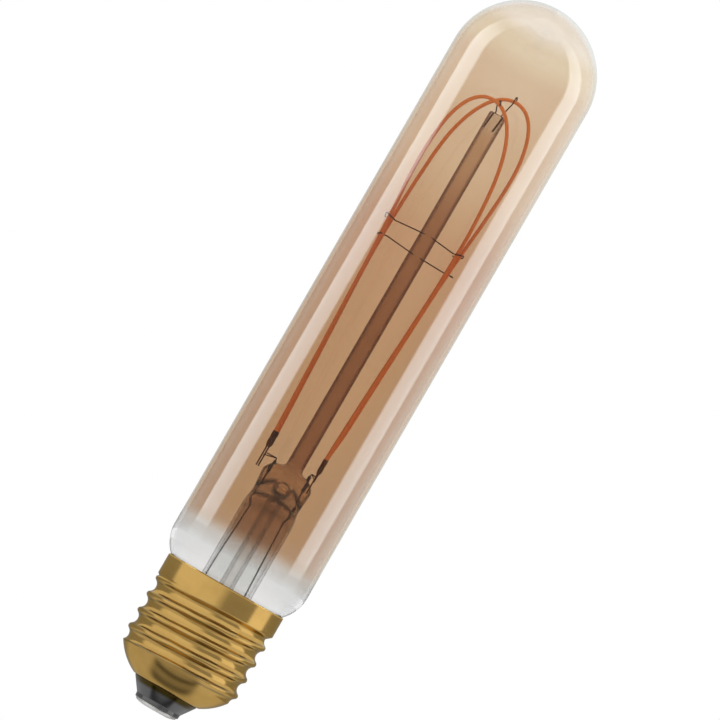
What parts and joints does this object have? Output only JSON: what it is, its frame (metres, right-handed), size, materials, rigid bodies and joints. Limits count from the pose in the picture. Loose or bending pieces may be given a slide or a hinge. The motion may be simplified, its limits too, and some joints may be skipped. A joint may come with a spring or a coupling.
{
  "type": "tubular light bulb",
  "caption": "Tubular amber glass lamp with looped LED filaments on a glass stem, side support wires and a threaded brass screw cap with a black insulator.",
  "frame": {"origin": "middle of the flat face under the centre contact, on the lamp's axis", "axes": "+Z along the lamp's axis from the contact to the dome; +X to the right of the picture's view, across the filament loops; -Y towards the viewer"},
  "size_m": [0.0304, 0.0304, 0.1612],
  "materials": {
    "amber_glass": "clear amber, gloss",
    "stem_glass": "clear, fire polished",
    "nickel_wire": "dull drawn wire",
    "terminal_metal": "dull",
    "filament_coating": "orange phosphor silicone",
    "brass": "rolled, half gloss",
    "black_insulator": "gloss black",
    "contact_metal": "tinned",
    "cement": "matt, granular",
    "circuit_board": "solder mask",
    "black_package": "moulded",
    "capacitor_can": "sleeved can",
    "resistor_body": "lacquered",
    "hookup_wire": "tinned wire"
  },
  "bodies": {
    "root": {"bridge_rectifier": "black_package", "cap_cement": "cement", "cap_insulator": "black_insulator", "centre_contact": "contact_metal", "driver_board": "circuit_board", "driver_chip": "black_package", "exhaust_tube": "stem_glass", "filament_front": "filament_coating", "filament_rear": "filament_coating", "filament_terminal_left_front": "terminal_metal", "filament_terminal_left_rear": "terminal_metal", "filament_terminal_right_front": "terminal_metal", "filament_terminal_right_rear": "terminal_metal", "filament_tie_left_front": "nickel_wire", "filament_tie_left_rear": "nickel_wire", "filament_tie_right_front": "nickel_wire", "filament_tie_right_rear": "nickel_wire", "fuse_resistor": "resistor_body", "glass_envelope": "amber_glass", "inner_lead_left": "nickel_wire", "inner_lead_right": "nickel_wire", "lead_wire_left": "nickel_wire", "lead_wire_right": "nickel_wire", "live_wire": "hookup_wire", "neutral_wire": "hookup_wire", "screw_shell": "brass", "sense_resistor_a": "resistor_body", "sense_resistor_b": "resistor_body", "smoothing_capacitor": "capacitor_can", "stem_flare": "stem_glass", "stem_post": "stem_glass", "support_lower_left": "nickel_wire", "support_lower_right": "nickel_wire", "support_upper_left": "nickel_wire", "support_upper_right": "nickel_wire", "top_hook_front": "nickel_wire", "top_hook_rear": "nickel_wire"}
  },
  "joints": []
}
